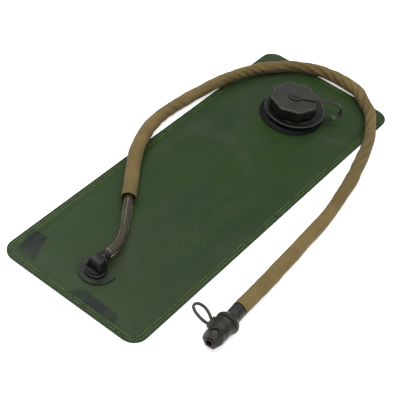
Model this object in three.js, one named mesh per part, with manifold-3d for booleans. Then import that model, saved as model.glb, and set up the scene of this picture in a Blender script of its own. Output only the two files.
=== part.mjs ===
// Hydration bladder: a welded film reservoir with a screw-cap filler on a tether, an outlet
// elbow, a clear drinking hose in a fabric sleeve, and a bite valve with a shut-off collar.
// Millimetres, +Z up. The origin is on the resting surface, under the middle of the reservoir.
// +Y runs up the reservoir to the filler, +X across it.
import * as THREE from 'three';
import { mergeVertices } from 'three/addons/utils/BufferGeometryUtils.js';
import Module from 'manifold-3d';

const wasm = await Module();
wasm.setup();

// Driving dimensions
const gap = 0.3;                     // between pieces that touch on the real object
const film = { width: 170, length: 455, thickness: 0.8, corner: 16, seam: 9, run: 22, puff: 2.1 };
const seamTop = 2 * film.thickness + gap;
const filmTop = seamTop + film.puff;

const filler = { x: 1.5, y: 143.5, bore: 19, wall: 2.3, sleeve: 1.5, bottom: 2.6, top: 26 };
const flange = {
  radius: 36, bead: 35.3, groove: 34.3, land: 33, knee: 28, kneeTop: 8.6, shoulder: 25, top: 10.5,
};
const neckCollar = { radius: 26.5, thickness: 1 };
const thread = { pitch: 5, turns: 1.25, bead: 0.9, neckRadius: 21.6, capRadius: 22.9, start: 14.5 };
const cap = {
  tip: 27.9, recess: 2.2, lobes: 8, bottom: 16, top: 30, bore: 23.2, roof: 2.1, bevel: 1, sides: 64,
};
const boss = { radius: 6, depth: 2.2 };
const gasket = { inner: 19.6, outer: 22.2, bulge: 0.4 };
const tether = { angle: 31, shift: 2.4, bottom: 12.1, width: 6.8, thickness: 1.6, reach: 44, tab: 6 };
const ring = { bore: 25, radius: 34, rim: 1, rimHeight: 2.4, chamfer: 1 };
const eye = { radius: 8, bore: 2.7, shank: 2.3, head: 4, headHeight: 1.2, edge: 0.6 };

const outlet = {
  x: 0, y: -186, bore: 6.4, wall: 1.4, bottom: 3.4, ring: 11, ringTop: 8.2, spigot: 6.1, channel: 2.6,
};
const shieldSize = {
  half: 18, top: 8, bottom: -16.5, corner: 3, waist: 9, belly: -10,
  plate: 1, ridgeTop: 1.6, ridgeWidth: 1.2, ridgeInsets: [0.8, 3.6],
};
const elbow = {
  width: 19, depth: 13, height: 11.5, taper: 0.66, base: 8.5, forward: 1.5, bevel: 1.4, corner: 2,
};
const nozzle = {
  x: -1, axis: 14, waterway: 1.7, barbEnd: 18, ringAt: 11.2, ringBore: 5.1, ringRadius: 6, ring: 5,
};
const elbowGroove = { radius: 4.6, low: 5.2, high: 6.6, seal: 0.5 };

const hose = { radius: 4.75, bore: 3.2, steps: 54, barb: 2.7, sides: 8 };
const sleeve = { radius: 7.4, bore: 6, start: 92, steps: 48 };

const valve = { x: 131, y: -133.5, z: 12.4, turned: 3.5 };
const adapter = { radius: 7.75, socket: 5.15, length: 14, socketDepth: 12, spigot: 5, spigotEnd: 31.5 };
const spigotGroove = { radius: 4.1, low: 17.9, high: 19.1, seal: 0.45 };
const port = { radius: 1.3, at: 28.1 };
const collar = { start: 14.3, end: 23.4, small: 8.2, neck: 9.2, flare: 11.6, large: 12.3, bore: 6.8 };
const shutoff = { start: 14.6, end: 30.9 };
const body = { start: 23.7, end: 50, radius: 9.8, shoulder: 11.2, chamber: 7.6, chamberEnd: 32.5, mouth: 3.8 };
const nose = { flats: 6, start: 41.5, radius: 10.2, slope: 19, turned: 2.4 };
const lug = { width: 7, depth: 6, length: 11.8, x: -10, at: 29.9 };
const button = { at: 44.2, radius: 4, pocket: 4.4, stem: 2.2, waist: 1.2, bottom: -3.2, floor: 3.9, top: 8.1 };
const spring = { radius: 3.3, wire: 0.25, turns: 2.5 };
const lip = { bore: 3.2, radius: 5, depth: 3, height: 1, edge: 0.4 };
const loop = { radius: 1.6, lugAt: [26.4, 33.4] };

// Free route of the drinking hose's axis, from the elbow's nozzle to the valve
const hoseRoute = [
  [-1, -177.6, 14], [-1, -170.5, 14], [-0.8, -163, 13.9], [-3.5, -150, 12.4], [-9.5, -137, 10.4],
  [-18, -123, 9.5], [-27.5, -108.5, 10.3], [-37.5, -94.5, 11.9], [-47.7, -79.5, 11.9], [-60.7, -60.8, 11.9],
  [-76.2, -36.5, 11.9], [-88.2, -9, 11.3], [-95.6, 18.5, 9], [-97.3, 46.3, 7.7], [-92, 102.2, 7.7],
  [-86.3, 126.6, 10.4], [-79.2, 148.4, 11.8], [-70.5, 170.3, 11.9], [-58.2, 189.2, 11.9], [-44.8, 207.6, 11.7],
  [-31.8, 220.6, 10.5], [-16, 229, 9.7], [2.2, 234.4, 8.2], [18.6, 234.3, 8.2], [34.5, 230.6, 9.7],
  [51.3, 218.4, 11.2], [67.7, 205, 11.6], [79.9, 187.2, 10.6], [89.3, 170.7, 9.5], [96, 152.6, 7.7],
  [103.3, 127, 7.7], [110.8, 98.8, 7.7], [121.2, 37.6, 7.7], [125, -18.7, 7.7], [127.8, -72, 8.2],
  [129.4, -99, 9.8], [130.6, -121, 12], [131, -133.8, 12.4], [131.7, -145.2, 12.4],
].map(([x, y, z]) => new THREE.Vector3(x, y, z));

// Solids and placing

function toSolid(geometry) {
  const bare = geometry.clone();
  bare.deleteAttribute('normal');
  bare.deleteAttribute('uv');
  const merged = mergeVertices(bare, 1e-4);
  const index = merged.index.array;
  const kept = [];
  for (let i = 0; i < index.length; i += 3) {
    const [a, b, c] = [index[i], index[i + 1], index[i + 2]];
    if (a !== b && b !== c && c !== a) kept.push(a, b, c);
  }
  const vertProperties = new Float32Array(merged.attributes.position.array);
  return new wasm.Manifold(new wasm.Mesh({ numProp: 3, vertProperties, triVerts: new Uint32Array(kept) }));
}

function toGeometry(solid) {
  const mesh = solid.getMesh();
  const geometry = new THREE.BufferGeometry();
  geometry.setAttribute('position', new THREE.BufferAttribute(mesh.vertProperties, 3));
  geometry.setIndex(new THREE.BufferAttribute(mesh.triVerts, 1));
  geometry.computeVertexNormals();
  return geometry;
}

function join(...pieces) {
  return toGeometry(pieces.map(toSolid).reduce((whole, piece) => whole.add(piece)));
}

function cut(piece, ...tools) {
  return toGeometry(tools.map(toSolid).reduce((rest, tool) => rest.subtract(tool), toSolid(piece)));
}

// Revolves a closed outline of [radius, height] pairs about +Z.
function lathe(outline, sides = 32) {
  const points = outline.map(([r, z]) => new THREE.Vector2(r, z));
  if (THREE.ShapeUtils.area(points) < 0) points.reverse();
  points.push(points[0].clone());
  return new THREE.LatheGeometry(points, sides).rotateX(Math.PI / 2);
}

function tube(inner, outer, low, high, sides) {
  return lathe([[inner, low], [outer, low], [outer, high], [inner, high]], sides);
}

function rod(radius, low, high, sides = 24) {
  return new THREE.CylinderGeometry(radius, radius, high - low, sides)
    .rotateX(Math.PI / 2)
    .translate(0, 0, (low + high) / 2);
}

function block(width, depth, height, x = 0, y = 0, z = 0) {
  return new THREE.BoxGeometry(width, depth, height).translate(x, y, z);
}

function roundedRectangle(width, length, radius) {
  const x = width / 2 - radius;
  const y = length / 2 - radius;
  const shape = new THREE.Shape();
  shape.absarc(x, -y, radius, -Math.PI / 2, 0);
  shape.absarc(x, y, radius, 0, Math.PI / 2);
  shape.absarc(-x, y, radius, Math.PI / 2, Math.PI);
  shape.absarc(-x, -y, radius, Math.PI, 1.5 * Math.PI);
  return shape;
}

function circle(radius, sides) {
  const points = [];
  for (let i = 0; i < sides; i++) {
    const angle = (i / sides) * 2 * Math.PI;
    points.push(new THREE.Vector2(radius * Math.cos(angle), radius * Math.sin(angle)));
  }
  return points;
}

// A round section, hollow if it has a bore, swept along a path.
function sweep(path, radius, bore, steps, sides) {
  const section = new THREE.Shape(circle(radius, sides));
  if (bore > 0) section.holes.push(new THREE.Path(circle(bore, sides).reverse()));
  return new THREE.ExtrudeGeometry(section, { steps, extrudePath: path });
}

// A stretch of a curve by its arc length, so that tubes on one route share their stations.
class Stretch extends THREE.Curve {
  constructor(route, from, to) {
    super();
    this.route = route;
    this.from = from;
    this.to = to;
  }

  getPoint(t, target = new THREE.Vector3()) {
    return target.copy(this.route.getPointAt(this.from + t * (this.to - this.from)));
  }

  getPointAt(u, target) {
    return this.getPoint(u, target);
  }
}

class Helix extends THREE.Curve {
  constructor(radius, pitch, turns, start) {
    super();
    Object.assign(this, { radius, pitch, turns, start });
  }

  getPoint(t, target = new THREE.Vector3()) {
    const angle = t * this.turns * 2 * Math.PI;
    const height = this.start + t * this.turns * this.pitch;
    return target.set(this.radius * Math.cos(angle), this.radius * Math.sin(angle), height);
  }
}

const bladder = new THREE.Group();
const fillerGroup = new THREE.Group();
fillerGroup.position.set(filler.x, filler.y, 0);
const outletGroup = new THREE.Group();
outletGroup.position.set(outlet.x, outlet.y, 0);
const valveGroup = new THREE.Group();
valveGroup.position.set(valve.x, valve.y, valve.z);
valveGroup.rotation.set(Math.PI / 2, 0, THREE.MathUtils.degToRad(valve.turned), 'ZXY');
bladder.add(fillerGroup, outletGroup, valveGroup);

const looks = {
  film: { color: 0x3c4c35, roughness: 0.42, metalness: 0 },
  navy: { color: 0x14181c, roughness: 0.4, metalness: 0 },
  charcoal: { color: 0x3a3836, roughness: 0.55, metalness: 0 },
  strap: { color: 0x42443f, roughness: 0.6, metalness: 0 },
  black: { color: 0x1c1b1a, roughness: 0.3, metalness: 0 },
  silicone: { color: 0x8a8578, roughness: 0.5, metalness: 0 },
  clearHose: { color: 0x6a5a42, roughness: 0.15, metalness: 0 },
  fabric: { color: 0x796844, roughness: 0.95, metalness: 0 },
  valve: { color: 0x3c3e38, roughness: 0.5, metalness: 0 },
  seal: { color: 0x181818, roughness: 0.6, metalness: 0 },
  steel: { color: 0xa8a8a8, roughness: 0.3, metalness: 1 },
};

function add(group, name, look, geometry) {
  const mesh = new THREE.Mesh(geometry, new THREE.MeshStandardMaterial(looks[look]));
  mesh.name = name;
  group.add(mesh);
}

// Reservoir: two films, welded along the seam on the real object

function sheet(low) {
  const outline = roundedRectangle(film.width, film.length, film.corner);
  const options = { depth: film.thickness, bevelEnabled: false, curveSegments: 6 };
  return new THREE.ExtrudeGeometry(outline, options).translate(0, 0, low);
}

// A pillow whose top is at the given height and whose foot is on the seam line.
function pillow(top) {
  const inset = 2 * (film.seam + film.run);
  const outline = roundedRectangle(film.width - inset, film.length - inset, film.corner / 2);
  const options = {
    depth: 1, bevelThickness: film.puff, bevelSize: film.run, bevelSegments: 3, curveSegments: 5,
  };
  return new THREE.ExtrudeGeometry(outline, options).translate(0, 0, top - film.puff - 1);
}

function backPanel() {
  return sheet(0);
}

function frontPanel() {
  const underside = film.thickness + gap;
  const raised = join(sheet(underside), pillow(filmTop));
  const below = block(2 * film.width, 2 * film.length, 20, 0, 0, underside - 10);
  const fillerHole = rod(filler.bore + filler.wall, 0, 10, 48).translate(filler.x, filler.y, 0);
  const outletHole = rod(outlet.bore + 2, 0, 10).translate(outlet.x, outlet.y, 0);
  return cut(raised, pillow(filmTop - film.thickness), below, fillerHole, outletHole);
}

add(bladder, 'back_panel', 'film', backPanel());
add(bladder, 'front_panel', 'film', frontPanel());

// Filler: soft welded flange, threaded neck, tether, cap

function fillerFlange() {
  const low = filmTop + gap;
  const inner = filler.bore + filler.sleeve + gap;
  return lathe([
    [inner, low], [flange.radius, low], [flange.radius, low + 0.7], [flange.bead, low + 1.3],
    [flange.groove, low + 0.8], [flange.land, low + 1.2], [flange.knee, flange.kneeTop],
    [flange.shoulder, flange.top], [inner, flange.top],
  ], 40);
}

function fillerNeck() {
  const { bore, bottom, top } = filler;
  const seat = flange.top + gap;
  const inner = bore + filler.sleeve;
  const outer = bore + filler.wall;
  const shelf = seat + neckCollar.thickness;
  const shell = lathe([
    [bore, bottom], [inner, bottom], [inner, seat], [neckCollar.radius, seat],
    [neckCollar.radius, shelf], [outer, shelf], [outer, top], [bore, top],
  ], 40);
  const helix = new Helix(thread.neckRadius, thread.pitch, thread.turns, thread.start);
  return join(shell, sweep(helix, thread.bead, 0, 30, 6));
}

function tetherRing() {
  const low = tether.bottom;
  const inRim = ring.radius - ring.rim;
  const washer = lathe([
    [ring.bore, low], [ring.radius, low], [ring.radius, low + ring.rimHeight], [inRim, low + ring.rimHeight],
    [inRim - ring.chamfer, low + tether.thickness], [ring.bore, low + tether.thickness],
  ], 40).translate(tether.shift, 0, 0);
  const middle = low + tether.thickness / 2;
  const tab = block(tether.tab, tether.width, tether.thickness, ring.radius + tether.shift, 0, middle);
  return join(washer, tab);
}

// The band's side view: out from the ring's tab, round a bend, and back over the cap.
function tetherBand() {
  const low = tether.bottom + tether.thickness / 2;
  const high = cap.top + gap + tether.thickness / 2;
  const middle = (low + high) / 2;
  const outer = (high - low) / 2 + tether.thickness / 2;
  const inner = outer - tether.thickness;
  const start = ring.radius + tether.shift + tether.tab / 2 + gap;
  const shape = new THREE.Shape();
  shape.moveTo(start, middle - outer);
  shape.absarc(tether.reach, middle, outer, -Math.PI / 2, Math.PI / 2);
  shape.lineTo(eye.radius + gap, middle + outer);
  shape.lineTo(eye.radius + gap, middle + inner);
  shape.absarc(tether.reach, middle, inner, Math.PI / 2, -Math.PI / 2, true);
  shape.lineTo(start, middle - inner);
  const options = { depth: tether.width, bevelEnabled: false, curveSegments: 10 };
  return new THREE.ExtrudeGeometry(shape, options).rotateX(Math.PI / 2).translate(0, tether.width / 2, 0);
}

function tetherEye() {
  return tube(eye.bore, eye.radius, cap.top + gap, cap.top + gap + tether.thickness, 32);
}

function fillerCap() {
  const outline = [];
  for (let i = 0; i < cap.sides; i++) {
    const angle = (i / cap.sides) * 2 * Math.PI;
    const wave = (1 - Math.cos(cap.lobes * angle)) / 2;
    const radius = cap.tip - cap.bevel - cap.recess * wave;
    outline.push(new THREE.Vector2(radius * Math.cos(angle), radius * Math.sin(angle)));
  }
  const depth = cap.top - cap.bottom - 2 * cap.bevel;
  const options = { depth, bevelThickness: cap.bevel, bevelSize: cap.bevel, bevelSegments: 2 };
  const outside = new THREE.ExtrudeGeometry(new THREE.Shape(outline), options)
    .translate(0, 0, cap.bottom + cap.bevel);
  const roof = cap.top - cap.roof;
  const hollow = rod(cap.bore, cap.bottom - 1, roof, 48);
  const helix = new Helix(thread.capRadius, thread.pitch, thread.turns, thread.start + thread.pitch / 2);
  const bead = sweep(helix, thread.bead, 0, 30, 6);
  const middle = rod(boss.radius, roof - boss.depth, roof + 1);
  const socket = rod(eye.shank + gap, roof - 1, cap.top + 1);
  return cut(join(cut(outside, hollow), bead, middle), socket);
}

function capGasket() {
  const low = filler.top + gap;
  const high = cap.top - cap.roof - gap;
  const { inner, outer, bulge } = gasket;
  const middle = (low + high) / 2;
  return lathe([[inner, low], [outer, low], [outer + bulge, middle], [outer, high], [inner, high]], 40);
}

function capButton() {
  const bottom = cap.top - cap.roof - 2 * gap;
  const seat = cap.top + 2 * gap + tether.thickness;
  const top = seat + eye.headHeight;
  return lathe([
    [0, bottom], [eye.shank, bottom], [eye.shank, seat], [eye.head, seat], [eye.head, top - eye.edge],
    [eye.head - eye.edge, top], [0, top],
  ], 24);
}

const tetherGroup = new THREE.Group();
tetherGroup.rotation.z = THREE.MathUtils.degToRad(tether.angle);
fillerGroup.add(tetherGroup);

add(fillerGroup, 'filler_flange', 'navy', fillerFlange());
add(fillerGroup, 'filler_neck', 'charcoal', fillerNeck());
add(tetherGroup, 'tether_ring', 'strap', tetherRing());
add(tetherGroup, 'tether_band', 'strap', tetherBand());
add(fillerGroup, 'tether_eye', 'strap', tetherEye());
add(fillerGroup, 'filler_cap', 'charcoal', fillerCap());
add(fillerGroup, 'cap_gasket', 'silicone', capGasket());
add(fillerGroup, 'cap_button', 'charcoal', capButton());

// Outlet: shield-shaped flange, socket, elbow and its seal

// The shield's outline about the outlet's axis, smaller all round by the inset.
function shield(inset) {
  const { corner, waist, belly } = shieldSize;
  const half = shieldSize.half - inset;
  const top = shieldSize.top - inset;
  const bottom = shieldSize.bottom + inset;
  const shape = new THREE.Shape();
  shape.moveTo(-half + corner, top);
  shape.quadraticCurveTo(-half, top, -half, top - corner);
  shape.bezierCurveTo(-half, belly, -waist, bottom, 0, bottom);
  shape.bezierCurveTo(waist, bottom, half, belly, half, top - corner);
  shape.quadraticCurveTo(half, top, half - corner, top);
  return shape;
}

function outletFlange() {
  const low = filmTop + gap;
  const sunk = 0.3;
  const raise = (shape, depth, from) => new THREE.ExtrudeGeometry(
    shape, { depth, bevelEnabled: false, curveSegments: 6 },
  ).translate(0, 0, from);
  const pieces = [raise(shield(0), shieldSize.plate, low)];
  for (const inset of shieldSize.ridgeInsets) {
    const ridge = shield(inset);
    ridge.holes.push(new THREE.Path(shield(inset + shieldSize.ridgeWidth).getPoints(6).reverse()));
    pieces.push(raise(ridge, shieldSize.ridgeTop - shieldSize.plate + sunk, low + shieldSize.plate - sunk));
  }
  return cut(join(...pieces), rod(outlet.bore + outlet.wall + gap, low - 1, low + 3));
}

function outletSocket() {
  const { bore, bottom, ringTop } = outlet;
  const outer = bore + outlet.wall;
  const seat = filmTop + gap + shieldSize.ridgeTop + gap;
  return lathe([
    [bore, bottom], [outer, bottom], [outer, seat], [outlet.ring, seat],
    [outlet.ring, ringTop - 1], [outlet.ring - 1, ringTop], [bore, ringTop],
  ], 32);
}

function outletElbow() {
  const { width, depth, height, base, bevel, corner } = elbow;
  const outline = roundedRectangle(width - 2 * bevel, depth - 2 * bevel, corner);
  const options = { bevelThickness: bevel, bevelSize: bevel, bevelSegments: 2, curveSegments: 4 };
  const hood = new THREE.ExtrudeGeometry(outline, { ...options, depth: height - 2 })
    .translate(0, 0, base + bevel);
  const place = hood.attributes.position;
  for (let i = 0; i < place.count; i++) {
    const rise = Math.max(0, place.getZ(i) - base) / height;
    const narrow = 1 - (1 - elbow.taper) * rise;
    place.setXY(i, place.getX(i) * narrow, place.getY(i) + elbow.forward);
  }
  const outward = (solid) => solid.rotateX(-Math.PI / 2).translate(nozzle.x, 0, nozzle.axis);
  const spigot = rod(outlet.spigot, outlet.bottom + 0.2, base + 2);
  const groove = tube(elbowGroove.radius, outlet.spigot + 1, elbowGroove.low, elbowGroove.high);
  const barb = outward(rod(hose.barb, 0, nozzle.barbEnd));
  const inlet = rod(outlet.channel, 0, nozzle.axis + 1);
  const waterway = outward(rod(nozzle.waterway, -3, nozzle.barbEnd + 2));
  return cut(join(hood, cut(spigot, groove), barb), inlet, waterway);
}

function elbowSeal() {
  const { radius, low, high, seal } = elbowGroove;
  return new THREE.TorusGeometry(radius + gap + seal, seal, 6, 24).translate(0, 0, (low + high) / 2);
}

function nozzleRing() {
  const { ringBore, ringRadius } = nozzle;
  const edge = 0.4;
  return lathe([
    [ringBore, 0], [ringRadius, edge], [ringRadius, nozzle.ring - edge], [ringRadius - edge, nozzle.ring],
    [ringBore, nozzle.ring],
  ], 24).rotateX(-Math.PI / 2).translate(nozzle.x, nozzle.ringAt, nozzle.axis);
}

add(outletGroup, 'outlet_flange', 'film', outletFlange());
add(outletGroup, 'outlet_socket', 'black', outletSocket());
add(outletGroup, 'outlet_elbow', 'black', outletElbow());
add(outletGroup, 'elbow_seal', 'seal', elbowSeal());
add(outletGroup, 'nozzle_ring', 'black', nozzleRing());

// Drinking hose and its sleeve

const route = new THREE.CatmullRomCurve3(hoseRoute, false, 'centripetal');
route.arcLengthDivisions = 1200;

function drinkingHose() {
  return sweep(new Stretch(route, 0, 1), hose.radius, hose.bore, hose.steps, hose.sides);
}

function hoseSleeve() {
  const length = route.getLength();
  const end = length - (adapter.socketDepth - gap) - gap;
  const covered = new Stretch(route, sleeve.start / length, end / length);
  return sweep(covered, sleeve.radius, sleeve.bore, sleeve.steps, hose.sides);
}

add(bladder, 'drinking_hose', 'clearHose', drinkingHose());
add(bladder, 'hose_sleeve', 'fabric', hoseSleeve());

// Bite valve, built along +Z from the hose to the mouth with +Y up

function crossHole() {
  return rod(port.radius, -adapter.radius, adapter.radius, 12).rotateX(Math.PI / 2).translate(0, 0, port.at);
}

function hoseAdapter() {
  const shell = lathe([
    [adapter.socket, 0], [adapter.radius, 0], [adapter.radius, adapter.length],
    [adapter.spigot, adapter.length], [adapter.spigot, adapter.spigotEnd], [0, adapter.spigotEnd],
    [0, adapter.socketDepth], [adapter.socket, adapter.socketDepth],
  ], 32);
  const barb = rod(hose.barb, 1.5, adapter.socketDepth + 1);
  const groove = tube(spigotGroove.radius, adapter.spigot + 1, spigotGroove.low, spigotGroove.high);
  const waterway = rod(nozzle.waterway, 0, adapter.spigotEnd - 1.6);
  return cut(join(shell, barb), groove, waterway, crossHole());
}

function spigotSeal() {
  const { radius, low, high, seal } = spigotGroove;
  return new THREE.TorusGeometry(radius + 0.11 + seal, seal, 6, 24).translate(0, 0, (low + high) / 2);
}

function lockCollar() {
  const { start, end, small, neck, flare, large, bore } = collar;
  return lathe([
    [bore, start], [small, start], [neck, start + 1.4], [flare, start + 4.6], [large, start + 5.8],
    [large, end - 1], [large - 0.8, end], [bore, end],
  ], 40);
}

function shutoffSleeve() {
  return cut(tube(adapter.spigot + gap, collar.bore - gap, shutoff.start, shutoff.end, 32), crossHole());
}

// Flats that taper the nose of the body, cut at equal angles round its axis.
function noseFlats() {
  const flats = [];
  for (let i = 0; i < nose.flats; i++) {
    const flat = block(40, 10, 26)
      .translate(0, 5, 0)
      .rotateX(THREE.MathUtils.degToRad(nose.slope))
      .translate(0, nose.radius, nose.start)
      .rotateZ(THREE.MathUtils.degToRad(nose.turned + (i * 360) / nose.flats));
    flats.push(flat);
  }
  return flats;
}

function valveBody() {
  const { start, end, radius, shoulder, chamber, chamberEnd, mouth } = body;
  const shell = lathe([
    [mouth, chamberEnd + 1.5], [chamber, chamberEnd], [chamber, start], [shoulder - 0.6, start],
    [shoulder, start + 0.8], [shoulder - 0.3, start + 2], [radius, start + 4.5], [radius, end], [mouth, end],
  ], 36);
  const upward = (solid) => solid.rotateX(-Math.PI / 2).translate(0, 0, button.at);
  const pocket = upward(rod(button.pocket, button.floor, 20));
  const well = upward(rod(button.stem + 0.4, -5, 20));
  const sockets = loop.lugAt.map((at) => rod(loop.radius + gap, 0, 4, 12)
    .rotateY(-Math.PI / 2)
    .translate(lug.x - 1, 0, at));
  const ear = cut(block(lug.width, lug.depth, lug.length, lug.x, 0, lug.at), rod(chamber + 0.6, 20, 40));
  return cut(join(cut(shell, ...noseFlats()), ear), pocket, well, ...sockets);
}

function biteButton() {
  const { radius, stem, waist, bottom, top } = button;
  return lathe([
    [0, bottom], [stem, bottom], [stem, -1.6], [waist, -1.2], [waist, 1.4], [stem, 1.8], [stem, top - 1.5],
    [radius, top - 1.5], [radius, top - 0.4], [radius - 0.5, top], [0, top],
  ], 24).rotateX(-Math.PI / 2).translate(0, 0, button.at);
}

function buttonSpring() {
  const rise = button.top - 1.5 - button.floor - 1;
  const coil = new Helix(spring.radius, rise / spring.turns, spring.turns, button.floor + 0.5);
  return sweep(coil, spring.wire, 0, 32, 5).rotateX(-Math.PI / 2).translate(0, 0, button.at);
}

function mouthLip() {
  const { bore, radius, depth, height, edge } = lip;
  const low = body.end + gap;
  const outer = body.mouth - gap;
  return lathe([
    [bore, low - depth], [outer, low - depth], [outer, low], [radius, low], [radius, low + height - edge],
    [radius - edge, low + height], [bore, low + height],
  ], 24);
}

// Points are across from the valve's axis, up, and along it: out of the lug, round, and back into it.
function pullLoop() {
  const [near, far] = loop.lugAt;
  const points = [
    [-11.6, 0, near], [-14.2, 0, near], [-18.4, 0.8, 23.7], [-24, 1.8, 21.2], [-30.5, 2.6, 20.9],
    [-34.2, 3, 23.4], [-34, 3, 27.4], [-29.5, 2.4, 31], [-23, 1.6, 33.2], [-18, 0.6, 33.7],
    [-14.2, 0, far], [-11.6, 0, far],
  ].map(([x, y, z]) => new THREE.Vector3(x, y, z));
  return sweep(new THREE.CatmullRomCurve3(points, false, 'centripetal'), loop.radius, 0, 28, 8);
}

add(valveGroup, 'hose_adapter', 'valve', hoseAdapter());
add(valveGroup, 'spigot_seal', 'seal', spigotSeal());
add(valveGroup, 'lock_collar', 'valve', lockCollar());
add(valveGroup, 'shutoff_sleeve', 'silicone', shutoffSleeve());
add(valveGroup, 'valve_body', 'valve', valveBody());
add(valveGroup, 'mouth_lip', 'silicone', mouthLip());
add(valveGroup, 'bite_button', 'valve', biteButton());
add(valveGroup, 'button_spring', 'steel', buttonSpring());
add(valveGroup, 'pull_loop', 'seal', pullLoop());

export default bladder;
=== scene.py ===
import math

import bpy
import numpy as np
from mathutils import Matrix, Vector, noise


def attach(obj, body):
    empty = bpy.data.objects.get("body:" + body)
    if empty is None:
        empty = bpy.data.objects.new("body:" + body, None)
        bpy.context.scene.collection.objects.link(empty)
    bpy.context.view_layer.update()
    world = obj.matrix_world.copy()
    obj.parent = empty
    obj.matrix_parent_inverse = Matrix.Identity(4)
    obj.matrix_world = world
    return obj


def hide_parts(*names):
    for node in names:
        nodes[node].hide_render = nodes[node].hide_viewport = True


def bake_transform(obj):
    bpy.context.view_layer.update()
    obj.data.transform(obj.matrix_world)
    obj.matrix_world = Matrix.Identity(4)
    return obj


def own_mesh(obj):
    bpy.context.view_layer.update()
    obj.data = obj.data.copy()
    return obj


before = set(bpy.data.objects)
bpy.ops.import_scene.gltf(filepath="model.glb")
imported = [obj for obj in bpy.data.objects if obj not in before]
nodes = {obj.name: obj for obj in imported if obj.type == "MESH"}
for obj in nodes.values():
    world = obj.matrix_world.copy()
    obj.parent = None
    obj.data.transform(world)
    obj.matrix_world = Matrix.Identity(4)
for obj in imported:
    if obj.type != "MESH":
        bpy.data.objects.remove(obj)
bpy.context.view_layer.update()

scene = bpy.context.scene
scene.view_settings.view_transform = "Standard"
mm = 0.001


def wake(piece):
    if bpy.context.mode != "OBJECT":
        bpy.ops.object.mode_set(mode="OBJECT")
    bpy.ops.object.select_all(action="DESELECT")
    piece.select_set(True)
    bpy.context.view_layer.objects.active = piece
    return piece


def fromPoints(name, verts, edges=(), faces=()):
    mesh = bpy.data.meshes.new(name)
    mesh.from_pydata([tuple(v) for v in verts], list(edges), list(faces))
    mesh.update()
    piece = bpy.data.objects.new(name, mesh)
    scene.collection.objects.link(piece)
    return wake(piece)


def justAdded(name):
    piece = bpy.context.active_object
    piece.name = name
    bpy.ops.object.transform_apply(location=True, rotation=True, scale=True)
    return wake(piece)


def modify(piece, kind, **settings):
    wake(piece)
    modifier = piece.modifiers.new(kind, kind)
    for key, value in settings.items():
        setattr(modifier, key, value)
    bpy.ops.object.modifier_apply(modifier=modifier.name)
    return piece


def edit(piece, *steps):
    wake(piece)
    bpy.ops.object.mode_set(mode="EDIT")
    bpy.ops.mesh.select_all(action="SELECT")
    for step in steps:
        step()
    bpy.ops.object.mode_set(mode="OBJECT")
    return piece


def tidyNormals(piece, apart=1e-6):
    return edit(
        piece,
        lambda: bpy.ops.mesh.remove_doubles(threshold=apart),
        lambda: bpy.ops.mesh.normals_make_consistent(inside=False),
    )


def smooth(piece, angle=40):
    wake(piece)
    bpy.ops.object.shade_smooth_by_angle(angle=math.radians(angle))
    return piece


def finished(piece, angle, finish):
    smooth(piece, angle)
    finish.wear(piece)
    return piece


def bevel(piece, width, segments=2, angle=30):
    return modify(
        piece, "BEVEL", width=width, segments=segments, limit_method="ANGLE",
        angle_limit=math.radians(angle), harden_normals=False,
    )


# A closed outline of (radius, height) pairs in mm, spun about +Z.
def turned(name, outline, steps=64):
    verts = [(r * mm, 0, z * mm) for r, z in outline]
    count = len(verts)
    ends = outline[0][0] == 0 and outline[-1][0] == 0
    edges = [(i, i + 1) for i in range(count - 1)]
    if not ends:
        edges.append((count - 1, 0))
    piece = fromPoints(name, verts, edges)
    edit(piece, lambda: bpy.ops.mesh.spin(
        steps=steps, angle=2 * math.pi, center=(0, 0, 0), axis=(0, 0, 1)))
    return tidyNormals(piece)


# Rounds an outline's corners before it is spun: each sharp point becomes a short arc.
def softened(outline, radius=0.4, bends=3):
    closed = not (outline[0][0] == 0 and outline[-1][0] == 0)
    points = [Vector((r, z)) for r, z in outline]
    result = []
    for i, here in enumerate(points):
        if not closed and i in (0, len(points) - 1):
            result.append(here)
            continue
        before = points[i - 1] - here
        after = points[(i + 1) % len(points)] - here
        reach = min(radius, before.length * 0.45, after.length * 0.45)
        start = here + before.normalized() * reach
        finish = here + after.normalized() * reach
        for k in range(bends + 1):
            t = k / bends
            result.append(start.lerp(here, t).lerp(here.lerp(finish, t), t))
    return [(p.x, p.y) for p in result]


def rounded(name, outline, radius, steps):
    return turned(name, softened(outline, radius), steps)


# Faces between rings of points, and over the first and last ring
def ringFaces(count, sides, closedEnds=True):
    faces = []
    for i in range(count - 1):
        for k in range(sides):
            nextK = (k + 1) % sides
            faces.append((i * sides + k, (i + 1) * sides + k, (i + 1) * sides + nextK, i * sides + nextK))
    if closedEnds:
        faces.append(tuple(range(sides)))
        faces.append(tuple(range(count * sides - 1, (count - 1) * sides - 1, -1)))
    return faces


def distancesAlong(path):
    return np.concatenate([[0], np.cumsum([(b - a).length for a, b in zip(path, path[1:])])])


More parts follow.
